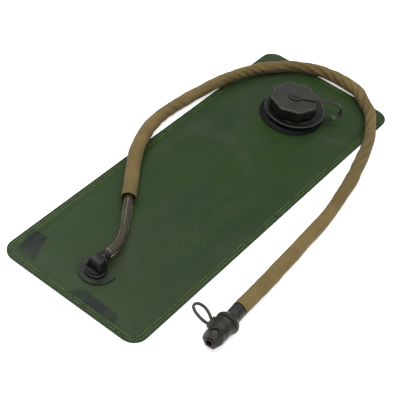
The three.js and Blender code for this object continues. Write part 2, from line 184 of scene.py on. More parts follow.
# Sweeps a closed ring of points, given by shape(distance, angle) as (across, up), along a path.
def swept(name, path, sides, shape, closedEnds=True):
    path = [Vector(p) for p in path]
    verts = []
    travelled = 0.0
    up = Vector((0, 0, 1))
    for i, here in enumerate(path):
        if i:
            travelled += (here - path[i - 1]).length
        ahead = (path[min(i + 1, len(path) - 1)] - path[max(i - 1, 0)]).normalized()
        across = ahead.cross(up).normalized()
        rise = across.cross(ahead)
        for k in range(sides):
            side, lift = shape(travelled, 2 * math.pi * k / sides)
            verts.append(here + across * side + rise * lift)
    piece = fromPoints(name, verts, (), ringFaces(len(path), sides, closedEnds))
    layer = piece.data.uv_layers.new(name="along")
    lengths = distancesAlong(path)
    for polygon in piece.data.polygons:
        rings = [piece.data.loops[l].vertex_index % sides for l in polygon.loop_indices]
        wraps = max(rings) - min(rings) > sides / 2
        for loop, ring in zip(polygon.loop_indices, rings):
            station = piece.data.loops[loop].vertex_index // sides
            turn = (ring + sides if wraps and ring < sides / 2 else ring) / sides
            layer.data[loop].uv = (turn, lengths[station])
    return piece


# Centripetal Catmull-Rom through the points, evenly spaced.
def smoothRoute(points, spacing):
    points = [Vector(p) for p in points]
    padded = [2 * points[0] - points[1], *points, 2 * points[-1] - points[-2]]
    dense = []
    for p0, p1, p2, p3 in zip(padded, padded[1:], padded[2:], padded[3:]):
        t0 = 0.0
        t1 = t0 + math.sqrt((p1 - p0).length)
        t2 = t1 + math.sqrt((p2 - p1).length)
        t3 = t2 + math.sqrt((p3 - p2).length)
        for k in range(24):
            t = t1 + (t2 - t1) * k / 24
            a1 = p0.lerp(p1, (t - t0) / (t1 - t0))
            a2 = p1.lerp(p2, (t - t1) / (t2 - t1))
            a3 = p2.lerp(p3, (t - t2) / (t3 - t2))
            b1 = a1.lerp(a2, (t - t0) / (t2 - t0))
            b2 = a2.lerp(a3, (t - t1) / (t3 - t1))
            dense.append(b1.lerp(b2, (t - t1) / (t2 - t1)))
    dense.append(points[-1])
    return evenly(dense, spacing)


def evenly(dense, spacing):
    places = np.array([tuple(p) for p in dense])
    lengths = distancesAlong(dense)
    count = max(2, round(lengths[-1] / spacing) + 1)
    wanted = np.linspace(0, lengths[-1], count)
    columns = [np.interp(wanted, lengths, places[:, axis]) for axis in range(3)]
    return [Vector(map(float, row)) for row in zip(*columns)]


def routeLength(route):
    return sum((b - a).length for a, b in zip(route, route[1:]))


cameraSettings = {
    "azimuth": 30.49, "elevation": 44.33, "roll": 10.4, "distance": 1.1392,
    "target": (0.01005, -0.03548, 0), "lens": 99.58,
}


def placeCamera():
    azimuth = math.radians(cameraSettings["azimuth"])
    elevation = math.radians(cameraSettings["elevation"])
    roll = math.radians(cameraSettings["roll"])
    back = Vector((
        math.sin(azimuth) * math.cos(elevation),
        -math.cos(azimuth) * math.cos(elevation),
        math.sin(elevation),
    ))
    right = Vector((math.cos(azimuth), math.sin(azimuth), 0))
    up = back.cross(right)
    leanRight = right * math.cos(roll) + up * math.sin(roll)
    leanUp = up * math.cos(roll) - right * math.sin(roll)
    bpy.ops.object.camera_add()
    camera = bpy.context.active_object
    camera.data.lens = cameraSettings["lens"]
    camera.data.sensor_width = 36
    camera.data.clip_start = 0.01
    turn = Matrix((leanRight, leanUp, back)).transposed().to_4x4()
    camera.matrix_world = Matrix.Translation(
        Vector(cameraSettings["target"]) + back * cameraSettings["distance"]) @ turn
    scene.camera = camera


lightSettings = {
    "world": 0.5,
    "top": {"place": (0.05, -0.1, 1.7), "size": 2.3, "power": 36},
    "key": {"place": (-1.2, 0.7, 1.6), "size": 0.7, "power": 5},
    "fill": {"place": (1.4, -1.0, 1.0), "size": 1.2, "power": 3},
}


def placeLights():
    world = bpy.data.worlds.new("studio")
    world.use_nodes = True
    world.node_tree.nodes["Background"].inputs["Strength"].default_value = lightSettings["world"]
    world.node_tree.nodes["Background"].inputs["Color"].default_value = (1, 1, 1, 1)
    scene.world = world
    for name in ("top", "key", "fill"):
        light = lightSettings[name]
        bpy.ops.object.light_add(type="AREA", location=light["place"])
        lamp = bpy.context.active_object
        lamp.name = name
        lamp.data.size = light["size"]
        lamp.data.energy = light["power"]
        lamp.rotation_euler = (-Vector(light["place"])).to_track_quat("-Z", "Y").to_euler()


def placeFloor():
    bpy.ops.mesh.primitive_plane_add(size=12, location=(0, 0, -0.0003))
    floor = justAdded("floor")
    finish = Finish("paleFloor", (0.93, 0.93, 0.93), 0.9, Emission_Strength=0.42)
    finish.shader.inputs["Emission Color"].default_value = (1, 1, 1, 1)
    finish.wear(floor)


class Value:
    def __init__(self, tree, socket):
        self.tree = tree
        self.socket = socket

    def maths(self, operation, first, second=0.0):
        node = self.tree.nodes.new("ShaderNodeMath")
        node.operation = operation
        for slot, value in zip(node.inputs, (first, second)):
            if isinstance(value, Value):
                self.tree.links.new(value.socket, slot)
            else:
                slot.default_value = value
        return Value(self.tree, node.outputs[0])

    def __add__(self, other):
        return self.maths("ADD", self, other)

    def __radd__(self, other):
        return self.maths("ADD", other, self)

    def __sub__(self, other):
        return self.maths("SUBTRACT", self, other)

    def __rsub__(self, other):
        return self.maths("SUBTRACT", other, self)

    def __mul__(self, other):
        return self.maths("MULTIPLY", self, other)

    def __rmul__(self, other):
        return self.maths("MULTIPLY", other, self)

    def __pow__(self, other):
        return self.maths("POWER", self, other)

    def __gt__(self, other):
        return self.maths("GREATER_THAN", self, other)

    def sine(self):
        return self.maths("SINE", self)

    def size(self):
        return self.maths("ABSOLUTE", self)

    def atLeast(self, other):
        return self.maths("MAXIMUM", self, other)

    def atMost(self, other):
        return self.maths("MINIMUM", self, other)

    # 0 up to low, 1 from high on, smooth between
    def between(self, low, high):
        node = self.tree.nodes.new("ShaderNodeMapRange")
        node.interpolation_type = "SMOOTHSTEP"
        self.tree.links.new(self.socket, node.inputs["Value"])
        node.inputs["From Min"].default_value = low
        node.inputs["From Max"].default_value = high
        return Value(self.tree, node.outputs[0])


class Finish:
    def __init__(self, name, colour, roughness, **constants):
        self.material = bpy.data.materials.new(name)
        self.material.use_nodes = True
        self.tree = self.material.node_tree
        self.shader = self.tree.nodes["Principled BSDF"]
        self.shader.inputs["Base Color"].default_value = (*colour, 1)
        self.shader.inputs["Roughness"].default_value = roughness
        for socket, value in constants.items():
            self.shader.inputs[socket.replace("_", " ")].default_value = value
        self.material.diffuse_color = (*colour, 1)

    # settings go on the node first, then the values or links of its sockets
    def node(self, kind, settings=None, sockets=None, output=0):
        node = self.tree.nodes.new("ShaderNode" + kind)
        for key, value in (settings or {}).items():
            if key == "stops":
                self.setStops(node.color_ramp, value)
            else:
                setattr(node, key, value)
        for key, value in (sockets or {}).items():
            if isinstance(value, Value):
                self.tree.links.new(value.socket, node.inputs[key])
            else:
                node.inputs[key].default_value = value
        return Value(self.tree, node.outputs[output])

    def setStops(self, ramp, stops):
        while len(ramp.elements) < len(stops):
            ramp.elements.new(0.5)
        for element, (place, colour) in zip(ramp.elements, stops):
            element.position = place
            element.color = (*colour, 1)

    def place(self):
        return self.node("TexCoord", output="Object")

    def along(self, layer="along"):
        return self.node("UVMap", {"uv_map": layer})

    def axis(self, vector, name):
        return self.node("SeparateXYZ", sockets={"Vector": vector}, output=name)

    def noise(self, scale, detail=3, roughness=0.55, vector=None, stretch=None):
        vector = vector or self.place()
        if stretch:
            vector = self.node("Mapping", sockets={"Vector": vector, "Scale": stretch})
        return self.node(
            "TexNoise",
            sockets={"Vector": vector, "Scale": scale, "Detail": detail, "Roughness": roughness})

    def mix(self, factor, first, second):
        sockets = {0: factor, 6: first, 7: second}
        for key in (6, 7):
            if not isinstance(sockets[key], Value):
                sockets[key] = (*sockets[key], 1)
        return self.node("Mix", {"data_type": "RGBA"}, sockets, 2)

    def feed(self, name, value):
        self.tree.links.new(value.socket, self.shader.inputs[name])

    def colour(self, value):
        self.feed("Base Color", value)

    def roughness(self, value):
        self.feed("Roughness", value)

    # the colour, a little darker in patches
    def mottled(self, colour, patch):
        darker = tuple(channel * 0.82 for channel in colour)
        return self.mix(patch.between(0.35, 0.7), darker, colour)

    # height in metres
    def bump(self, height, strength=1.0):
        normal = self.node("Bump", sockets={"Height": height, "Strength": strength, "Distance": 1.0})
        self.feed("Normal", normal)

    def wear(self, *pieces):
        for piece in pieces:
            piece.data.materials.clear()
            piece.data.materials.append(self.material)


# How far in from the film's rim a point is, and how far along the nearest side
def rimValues(x, y):
    film = reservoirSettings
    pastX = x.size() - (film["width"] / 2 - film["corner"])
    pastY = y.size() - (film["length"] / 2 - film["corner"])
    outX = pastX.atLeast(0)
    outY = pastY.atLeast(0)
    depth = film["corner"] - ((outX * outX + outY * outY) ** 0.5 + pastX.atLeast(pastY).atMost(0))
    nearSide = pastX > pastY
    return depth, nearSide * y + (1 - nearSide) * x


# Dots of the weld, in rows beside the rim: raised dots, pale partly from their own lighter colour and partly
# from painted highlight
def weldDots(finish, depth, along):
    film = reservoirSettings
    dash = (along * (2 * math.pi / film["dotPitch"])).sine().between(-0.35, 0.35)
    rows = 0
    for row in film["dotRows"]:
        rows = rows + (1 - (depth - row).size().between(film["dotWidth"] * 0.6, film["dotWidth"]))
    return dash * rows * finish.noise(130, 3, 0.6).between(0.3, 0.55)


# 1 near the line from one point to another, fading to 0 at the reach, all in mm
def nearLine(x, y, line, reach):
    ax, ay, bx, by = line
    runX, runY = (bx - ax) * mm, (by - ay) * mm
    offX, offY = x - ax * mm, y - ay * mm
    share = ((offX * runX + offY * runY) * (1 / (runX * runX + runY * runY))).atLeast(0).atMost(1)
    strayX, strayY = offX - share * runX, offY - share * runY
    return 1 - ((strayX * strayX + strayY * strayY) ** 0.5).between(0, reach * mm)


# 1 inside a patch with leaning sides
def insidePatch(x, y, patch):
    across, up, wide, tall, lean, _ = patch
    halfWide, halfTall = wide / 2 * mm, tall / 2 * mm
    off = x - across * mm + (y - up * mm) * lean
    inside = 1 - off.size().between(halfWide - 0.0016, halfWide + 0.0012)
    return inside * (1 - (y - up * mm).size().between(halfTall - 0.0012, halfTall + 0.001))


# Dark green welded film: satin, painted sheen in broad greyer bands and in pale soft bands, and dark patches
# of painted reflection
def filmFinish():
    film = reservoirSettings
    finish = Finish("greenFilm", (0.026, 0.046, 0.013), 0.38, Specular_IOR_Level=0.12)
    place = finish.place()
    x = finish.axis(place, "X")
    y = finish.axis(place, "Y")
    depth, along = rimValues(x, y)
    dots = weldDots(finish, depth, along)
    # broad greyer bands of painted sheen; the same mask also varies the roughness
    paintedSheenBands = finish.noise(7, 3, 0.55, stretch=(2.6, 0.5, 1)).between(0.42, 0.66)
    mottle = finish.noise(26, 5, 0.6).between(0.35, 0.75)
    streak = finish.noise(15, 4, 0.6, stretch=(1.5, 0.6, 1)).between(0.46, 0.66)
    blotch = finish.noise(55, 4, 0.6).between(0.2, 0.5)
    base = finish.mix(paintedSheenBands * 0.75, (0.0205, 0.0425, 0.0115), (0.0265, 0.0395, 0.0185))
    base = finish.mix(mottle * 0.35, base, (0.025, 0.042, 0.0145))
    base = finish.mix(streak * 0.6, base, (0.0155, 0.034, 0.0125))
    # pale soft bands of painted sheen along the film
    for *line, reach, strength in film["paintedSheens"]:
        near = nearLine(x, y, line, reach)
        base = finish.mix(near * strength * (0.4 + mottle * 0.6), base, (0.044, 0.05, 0.038))
    rim = 1 - depth.between(0.0075, 0.0085)
    base = finish.mix(rim * 0.5, base, (0.013, 0.032, 0.007))
    # dark patches of painted reflection on the film
    for patch in film["paintedDarkReflections"]:
        dark = insidePatch(x, y, patch) * patch[-1] * (0.55 + blotch * 0.45)
        base = finish.mix(dark, base, (0.0085, 0.0125, 0.0105))
    # the dots paler: partly their own colour, partly painted highlight
    finish.colour(finish.mix(dots * 0.75, base, (0.115, 0.145, 0.06)))
    scuffs = finish.noise(120, 5, 0.7, stretch=(1, 0.3, 1)).between(0.5, 0.75)
    finish.roughness(0.3 + paintedSheenBands * 0.12 + scuffs * 0.08)
    finish.bump(finish.noise(2600, 2, 0.5) * 0.000012 + finish.noise(38, 3, 0.5) * 0.00035 + dots * 0.0002)
    return finish


# Moulded plastic with a fine spark-eroded grain, paler where edges are rubbed
def mouldedFinish(name, colour, rubbed, roughness, grain=0.00001, scale=2400, **constants):
    finish = Finish(name, colour, roughness, **constants)
    patch = finish.noise(60, 4, 0.6)
    edges = finish.node("NewGeometry", output="Pointiness").between(0.52, 0.6)
    wearAndEdgeHighlight = edges * finish.noise(220, 3, 0.6).between(0.4, 0.7)
    finish.colour(finish.mix(wearAndEdgeHighlight * 0.7, finish.mottled(colour, patch), rubbed))
    finish.roughness(roughness + patch * 0.12 - 0.05)
    finish.bump(finish.noise(scale, 3, 0.6) * grain)
    return finish


# Woven nylon: two crossed sets of yarns, faded patches, and painted shade darkening the creases
def fabricFinish():
    finish = Finish("tanFabric", (0.15, 0.105, 0.04), 0.92, Sheen_Weight=0.06, Sheen_Roughness=0.5)
    finish.shader.inputs["Sheen Tint"].default_value = (0.75, 0.66, 0.5, 1)
    uv = finish.along()
    around = finish.axis(uv, "X")
    along = finish.axis(uv, "Y")
    warp = (around * (2 * math.pi * sleeveSettings["yarnsRound"])).sine()
    weft = (along * (2 * math.pi / sleeveSettings["yarnPitch"])).sine()
    weave = (warp * weft).between(-0.7, 0.7)
    fade = finish.noise(24, 4, 0.6)
    fine = finish.noise(500, 3, 0.6)
    base = finish.mix(fade.between(0.35, 0.7), (0.1, 0.068, 0.019), (0.152, 0.106, 0.032))
    thread = finish.mix(weave, base, (0.185, 0.133, 0.046))
    tinted = finish.mix(fine * 0.5, base, thread)
    # painted shade in the creases of the folds, by crease depth
    crease = finish.node("Attribute", {"attribute_name": "crease"}, output="Fac").between(0.15, 0.95)
    finish.colour(finish.mix(crease * 0.42, tinted, (0.055, 0.036, 0.011)))
    finish.roughness(0.86 + fine * 0.12)
    finish.bump(weave * 0.00007 + fine * 0.00006)
    return finish


# Clear tube wall, and its bore dark brown
def clearFinish():
    finish = Finish(
        "clearTube", (0.84, 0.76, 0.56), 0.1, IOR=1.38, Transmission_Weight=0.97, Specular_IOR_Level=0.25)
    finish.roughness(0.1 + finish.noise(60, 2, 0.5) * 0.05)
    return finish


def boreFinish():
    finish = Finish("brownBore", (0.03, 0.02, 0.01), 0.4, Specular_IOR_Level=0.2)
    finish.colour(finish.mix(finish.noise(70, 3, 0.6), (0.017, 0.011, 0.004), (0.038, 0.026, 0.0095)))
    finish.roughness(0.35 + finish.noise(300, 2, 0.5) * 0.2)
    return finish


# Braided cord: a plait that follows the loop
plaitPitch = 0.0021


def braidFinish():
    finish = Finish("blackBraid", (0.02, 0.019, 0.018), 0.8, Sheen_Weight=0.2)
    uv = finish.along()
    around = finish.axis(uv, "X") * (2 * math.pi * 4)
    along = finish.axis(uv, "Y") * (2 * math.pi / plaitPitch)
    plait = ((around + along).sine() * (around - along).sine()).between(-0.5, 0.5)
    finish.colour(finish.mix(plait, (0.012, 0.011, 0.011), (0.06, 0.056, 0.052)))
    finish.roughness(0.7 + plait * 0.15)
    finish.bump(plait * 0.00025)
    return finish


def siliconeFinish():
    finish = Finish("paleSilicone", (0.3, 0.27, 0.2), 0.45, Subsurface_Weight=0.15)
    cloud = finish.noise(180, 3, 0.6)
    finish.colour(finish.mix(cloud, (0.22, 0.19, 0.13), (0.34, 0.3, 0.23)))
    finish.roughness(0.4 + cloud * 0.15)
    return finish


def steelFinish():
    finish = Finish("springWire", (0.6, 0.6, 0.6), 0.3, Metallic=1.0)
    finish.roughness(0.22 + finish.noise(900, 3, 0.6) * 0.2)
    return finish


hoseSettings = {
    "diameter": 0.0095, "bore": 0.0052, "sides": 32, "spacing": 0.0025,
    "route": [
        (-1, -177.6, 14), (-1, -170.5, 14), (-0.8, -163, 13.9), (-3.5, -150, 12.4), (-9.5, -137, 10.4),
        (-18, -123, 9.5), (-27.5, -108.5, 10.3), (-37.5, -94.5, 11.9), (-47.7, -79.5, 11.9),
        (-60.7, -60.8, 11.9), (-76.2, -36.5, 11.9), (-88.2, -9, 11.3), (-95.6, 18.5, 9), (-97.3, 46.3, 7.7),
        (-92, 102.2, 7.7),
        (-86.3, 126.6, 10.4), (-79.2, 148.4, 11.8), (-70.5, 170.3, 11.9), (-58.2, 189.2, 11.9),
        (-44.8, 207.6, 11.7), (-31.8, 220.6, 10.5), (-16, 229, 9.7), (2.2, 234.4, 8.2), (18.6, 234.3, 8.2),
        (34.5, 230.6, 9.7), (51.3, 218.4, 11.2), (67.7, 205, 11.6), (79.9, 187.2, 10.6), (89.3, 170.7, 9.5),
        (96, 152.6, 7.7), (103.3, 127, 7.7), (110.8, 98.8, 7.7), (121.2, 37.6, 7.7), (125, -18.7, 7.7),
        (127.8, -72, 8.2), (129.4, -99, 9.8), (130.6, -121, 12), (131, -133.8, 12.4), (131.7, -145.2, 12.4),
    ],
}

sleeveSettings = {
    "start": 0.092, "stopShort": 0.0122, "thickness": 0.0005, "sides": 72, "spacing": 0.0011,
    "least": 5.3, "belly": 7.35, "deepest": 1.3, "slack": 0.7, "ripple": 0.22, "flare": 0.35,
    "yarnsRound": 44, "yarnPitch": 0.0011,
    # width in mm at each distance in mm from the nozzle
    "widths": [
        (92, 15.6), (110, 15.2), (150, 15.4), (200, 15.2), (240, 13.9), (270, 13.8), (300, 13), (330, 12.2),
        (352, 11.6), (372, 12.6), (395, 14.2), (420, 13), (440, 11.6), (455, 13), (475, 14), (500, 14.8),
        (520, 14), (545, 13.6), (570, 12.4), (590, 12.4), (620, 13.8), (660, 14.8), (720, 13.4), (780, 14.6),
        (830, 15.8), (870, 15.6), (1000, 15.4),
    ],
    # gathered stretches: from, to, depth in mm, fold spacing in mm, side of the folds in degrees, twist
    "gathers": [
        (94, 120, 0.5, 7, 150, 0.5), (195, 300, 1.2, 15, 10, 2.4), (325, 400, 1.6, 11, 30, 4.5),
        (385, 520, 1.5, 19, 50, 5), (505, 610, 2.6, 17, 25, 3), (590, 665, 1.7, 21, 70, 4),
        (660, 800, 0.4, 30, 40, 1), (800, 930, 0.4, 24, 150, 1),
    ],
}


def makeHose():
    hose = hoseSettings
    route = smoothRoute([Vector(p) * mm for p in hose["route"]], hose["spacing"])
    outer = hose["diameter"] / 2
    piece = swept(
        "drinkingHose", route, hose["sides"],
        lambda s, a: (outer * math.cos(a), outer * math.sin(a)), closedEnds=False)
    clearFinish().wear(piece)
    piece.data.materials.append(boreFinish().material)
    modify(
        piece, "SOLIDIFY", thickness=(hose["diameter"] - hose["bore"]) / 2, offset=-1, material_offset=1)
    smooth(piece, 50)
    return piece, route


# How far the gathered cloth folds in, in mm, at a distance from the nozzle and an angle round the hose
def foldsAt(far, angle):
    folds = 0.0
    for start, stop, depth, pitch, facing, twist in sleeveSettings["gathers"]:
        if start < far < stop:
            fade = math.sin(math.pi * (far - start) / (stop - start)) ** 0.6
            off = math.remainder(angle - math.radians(facing), 2 * math.pi)
            lean = (0.5 + 0.5 * math.cos(off)) ** 1.4
            drift = 2.6 * noise.noise((far / 23, facing, 0.5)) + twist * off
            wave = 0.5 + 0.5 * math.sin(2 * math.pi * far / pitch + drift)
            folds -= depth * fade * lean * (1 - wave ** 0.45)
    return folds


def unevenness(far, angle, spacing, start, turns):
    return noise.noise((far / spacing + start, math.cos(angle) * turns, math.sin(angle) * turns))


def makeSleeve(route):
    sleeve = sleeveSettings
    length = routeLength(route)
    fine = evenly(route, sleeve["spacing"])
    step = length / (len(fine) - 1)
    first = round(sleeve["start"] / step)
    last = round((length - sleeve["stopShort"]) / step)
    covered = fine[first:last + 1]
    distances, widths = zip(*sleeve["widths"])
    creases = []

    def skin(s, angle):
        far = sleeve["start"] / mm + s / mm
        radius = float(np.interp(far, distances, widths)) / 2
        folds = foldsAt(far, angle)
        creases.append(min(1.0, -folds / sleeve["deepest"]))
        slack = unevenness(far, angle, 19, 0, 1.1) * sleeve["slack"]
        ripple = unevenness(far, angle, 6, 40, 2.4) * sleeve["ripple"]
        mouth = max(0.0, 1 - s / mm / 5) * sleeve["flare"]
        reach = max(radius + folds + slack + ripple + mouth, sleeve["least"])
        # the cloth hangs down to what it lies on
        drop = sleeve["belly"] if math.sin(angle) < 0 else reach
        return reach * math.cos(angle) * mm, drop * math.sin(angle) * mm

    piece = swept("hoseSleeve", covered, sleeve["sides"], skin, closedEnds=False)
    # how deep each crease is, kept for the painted shade in the fabric's colour
    layer = piece.data.attributes.new("crease", "FLOAT", "POINT")
    for place, value in zip(layer.data, creases):
        place.value = value
    modify(piece, "SOLIDIFY", thickness=sleeve["thickness"], offset=-1)
    fabricFinish().wear(piece)
    smooth(piece, 70)
    return piece


reservoirSettings = {
    "width": 0.170, "length": 0.455, "corner": 0.016, "thickness": 0.0005,
    "seam": 0.009, "run": 0.022, "puff": 0.0019, "rimTop": 0.0017,
    "spacing": 0.0016, "dotPitch": 0.0031, "dotRows": (0.0028, 0.006), "dotWidth": 0.00085,
    # painted dark reflections, as dark patches: across, up, width, height in mm, lean, strength
    "paintedDarkReflections": [
        (-67, -200, 21, 30, 0.39, 0.9), (33, -216, 38, 11, 0.54, 0.85), (19, -215.5, 36, 12, -0.8, 0.75),
    ],
    # painted sheen: pale soft bands of reflected light on the film: from, to, reach in mm, strength
    "paintedSheens": [
        (-64, 46, -26, 58, 15, 0.6), (-14, 60, 24, 34, 13, 0.4), (46, 136, 76, 148, 11, 0.5),
        (-14, -134, 30, -160, 13, 0.3), (-66, -8, -44, -14, 14, 0.35), (-30, 90, 10, 70, 12, 0.3),
    ],
    # shallow creases: from, to in mm
    "creases": [((-64, -190), (-71, 150)), ((-60, 194), (70, 197)), ((62, 180), (80, 150))],
    "rings": [(43.9, -92.5), (43.4, -60.9), (42.3, -28.6), (41.8, 5.5)], "ringRadii": (13.2, 8.4),
    "filler": (1.5, 143.5), "fillerHole": 21.5, "outlet": (0, -186), "outletHole": 8.2,
    "swell": 0.0007, "wrinkle": 0.00022, "groove": 0.0002, "seal": 0.00018, "creaseDepth": 0.0003,
    "ringHeight": 0.0006,
}


def inFromRim(x, y):
    film = reservoirSettings
    pastX = abs(x) - (film["width"] / 2 - film["corner"])
    pastY = abs(y) - (film["length"] / 2 - film["corner"])
    outside = math.hypot(max(pastX, 0), max(pastY, 0)) + min(max(pastX, pastY), 0)
    return film["corner"] - outside


# A grid whose four corners are rounded by turning squares into quarter discs
def roundedSheet(name, spacing):
    film = reservoirSettings
    width, length, corner = film["width"], film["length"], film["corner"]
    bpy.ops.mesh.primitive_grid_add(
        x_subdivisions=round(width / spacing), y_subdivisions=round(length / spacing), size=1)
    piece = justAdded(name)
    for vertex in piece.data.vertices:
        x, y = vertex.co.x * width, vertex.co.y * length
        u = abs(x) - (width / 2 - corner)
        v = abs(y) - (length / 2 - corner)
        if u > 0 and v > 0:
            shrink = max(u, v) / math.hypot(u, v)
            x = math.copysign(width / 2 - corner + u * shrink, x)
            y = math.copysign(length / 2 - corner + v * shrink, y)
        vertex.co = (x, y, 0)
    return piece


def hump(off, wide):
    return math.exp(-(off / wide) ** 2)


def filmTop(x, y):
    film = reservoirSettings
    depth = inFromRim(x, y)
    rise = min(max((depth - film["seam"]) / film["run"], 0), 1)
    height = film["rimTop"] + film["puff"] * math.sin(rise * math.pi / 2) ** 0.8
    inner = min(max((depth - 0.012) / 0.03, 0), 1)
    height += inner * film["swell"] * noise.noise((x * 14 + y * 6, y * 7, 3.1))
    height += inner * film["wrinkle"] * noise.noise((x * 40, y * 30, 9.4))
    # crimped weld: a shallow groove where the two dotted rows run, and the inner seal line
    height -= film["groove"] * hump(depth - 0.0044, 0.0022)
    height += film["seal"] * hump(depth - 0.0125, 0.0008)
    for (ax, ay), (bx, by) in film["creases"]:
        run = Vector((bx - ax, by - ay))
        spot = Vector((x / mm - ax, y / mm - ay))
        share = min(max(spot.dot(run) / run.length_squared, 0), 1)
        height -= film["creaseDepth"] * hump((spot - run * share).length, 1.5)
    for cx, cy in film["rings"]:
        away = math.hypot(x / mm - cx, y / mm - cy)
        for radius in film["ringRadii"]:
            height += film["ringHeight"] * hump(away - radius, 0.75)
    return height


def makeFilms():
    film = reservoirSettings
    front = roundedSheet("frontFilm", film["spacing"])
    for vertex in front.data.vertices:
        vertex.co.z = filmTop(vertex.co.x, vertex.co.y)
    holes = [(film["filler"], film["fillerHole"]), (film["outlet"], film["outletHole"])]
    wake(front)
    bpy.ops.object.mode_set(mode="EDIT")
    bpy.ops.mesh.select_mode(type="FACE")
    bpy.ops.mesh.select_all(action="DESELECT")
    bpy.ops.object.mode_set(mode="OBJECT")
    for polygon in front.data.polygons:
        for (cx, cy), radius in holes:
            if math.hypot(polygon.center.x / mm - cx, polygon.center.y / mm - cy) < radius:
                polygon.select = True
    bpy.ops.object.mode_set(mode="EDIT")
    bpy.ops.mesh.delete(type="FACE")
    bpy.ops.object.mode_set(mode="OBJECT")
    modify(front, "SOLIDIFY", thickness=film["thickness"], offset=-1)
    back = roundedSheet("backFilm", film["spacing"] * 3)
    for vertex in back.data.vertices:
        vertex.co.z = film["rimTop"] - film["thickness"] - 0.0001
    modify(back, "SOLIDIFY", thickness=film["rimTop"] - film["thickness"] - 0.0001, offset=-1)
    green = filmFinish()
    green.wear(front, back)
    smooth(front, 60)
    smooth(back, 60)
    return front, back


sideways = Matrix.Rotation(-math.pi / 2, 3, "X")  # turns +Z to +Y


# Puts a shape built about the origin where it belongs, in its mesh.
def settle(piece, x=0.0, y=0.0, z=0.0, turn=None):
    matrix = Matrix.Translation(Vector((x, y, z)) * mm)
    if turn:
        matrix = matrix @ turn.to_4x4()
    piece.data.transform(matrix)
    piece.data.update()
    return piece


def joined(name, first, *others):
    wake(first)
    for other in others:
        other.select_set(True)
    if others:
        bpy.ops.object.join()
    first.name = name
    return first


def cutAway(piece, tool):
    modify(piece, "BOOLEAN", object=tool, operation="DIFFERENCE", solver="EXACT")
    bpy.data.objects.remove(tool)
    return piece


def cylinder(name, radius, depth, sides=48):
    bpy.ops.mesh.primitive_cylinder_add(vertices=sides, radius=radius * mm, depth=depth * mm)
    return justAdded(name)


def carried(body, slotName, piece, *instead):
    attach(piece, body)
    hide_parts(*instead)


# A coil of wire about +Z: a thread's bead, or a spring
def coiled(name, coil, stepsATurn, sides):
    radius, wire = coil["radius"], coil["wire"] * mm
    count = round(coil["turns"] * stepsATurn) + 1
    path = []
    for k in range(count):
        t = k * 2 * math.pi / stepsATurn
        height = coil["low"] + coil["pitch"] * k / stepsATurn
        path.append(Vector((radius * math.cos(t), radius * math.sin(t), height)) * mm)
    return swept(name, path, sides, lambda s, a: (wire * math.cos(a), wire * math.sin(a)))


# Filler: soft conical base, lobed cap, button, and the tether from ring to eye
fillerSettings = {
    "x": 1.5, "y": 143.5, "steps": 480,
    "lobes": 8, "lobeDepth": 2.6, "lobesFrom": 24,
    "ribs": 5, "ribPitch": 3.4, "ribDepth": 1.0, "ribsFrom": 27.8,
    "thread": {"radius": 22.9, "wire": 0.9, "turns": 1.23, "low": 17, "pitch": 5},
    "base": [
        (20.8, 4.3), (36, 4.3), (36, 4.9), (35.4, 5.5), (34.6, 5.5), (34.2, 5.1), (33.4, 5.1), (33, 5.5),
        (28, 8.6), (27.2, 8.9), (25, 10.5), (20.8, 10.5),
    ],
    "cap": [
        (2.6, 27.9), (23.2, 27.9), (23.2, 16), (26.6, 16), (27.6, 16.7), (27.9, 18), (27.9, 28.2),
        (27.2, 29.4), (26.1, 30), (24.9, 30), (24.4, 29.6), (9.6, 29.6), (9.2, 30), (2.6, 30),
    ],
    "button": [
        (0, 27.3), (2.3, 27.3), (2.3, 32.2), (4, 32.2), (4, 33.0), (3.5, 33.4), (2.6, 33.4),
        (2.3, 33.1), (0, 33.1),
    ],
}


def makeBase():
    base = rounded("fillerBase", fillerSettings["base"], 0.35, 128)
    settle(base, fillerSettings["x"], fillerSettings["y"])
    return finished(base, 35, navyFinish())


def capWave(angle):
    return (1 - math.cos(fillerSettings["lobes"] * angle)) / 2


# Short upright ribs, several in each hollow between two lobes
def capRib(angle):
    pitch = math.radians(fillerSettings["ribPitch"])
    between = 2 * math.pi / fillerSettings["lobes"]
    off = (angle % between) - between / 2
    if abs(off) > pitch * fillerSettings["ribs"] / 2:
        return 0.0
    return max(0.0, math.cos(2 * math.pi * off / pitch)) ** 0.7


def makeCap():
    settings = fillerSettings
    cap = rounded("fillerCap", settings["cap"], 0.5, settings["steps"])
    for vertex in cap.data.vertices:
        radius = math.hypot(vertex.co.x, vertex.co.y) / mm
        if radius < settings["lobesFrom"]:
            continue
        angle = math.atan2(vertex.co.y, vertex.co.x)
        inward = settings["lobeDepth"] * capWave(angle)
        if radius > settings["ribsFrom"]:
            inward -= settings["ribDepth"] * capRib(angle)
        scale = (radius - inward) / radius
        vertex.co.x *= scale
        vertex.co.y *= scale
    bead = coiled("capThread", settings["thread"], 48, 10)
    joined("fillerCap", cap, bead)
    settle(cap, settings["x"], settings["y"])
    return finished(cap, 32, capFinish())


def makeCapButton():
    button = rounded("capButton", fillerSettings["button"], 0.25, 64)
    settle(button, fillerSettings["x"], fillerSettings["y"])
    return finished(button, 40, strapFinish())


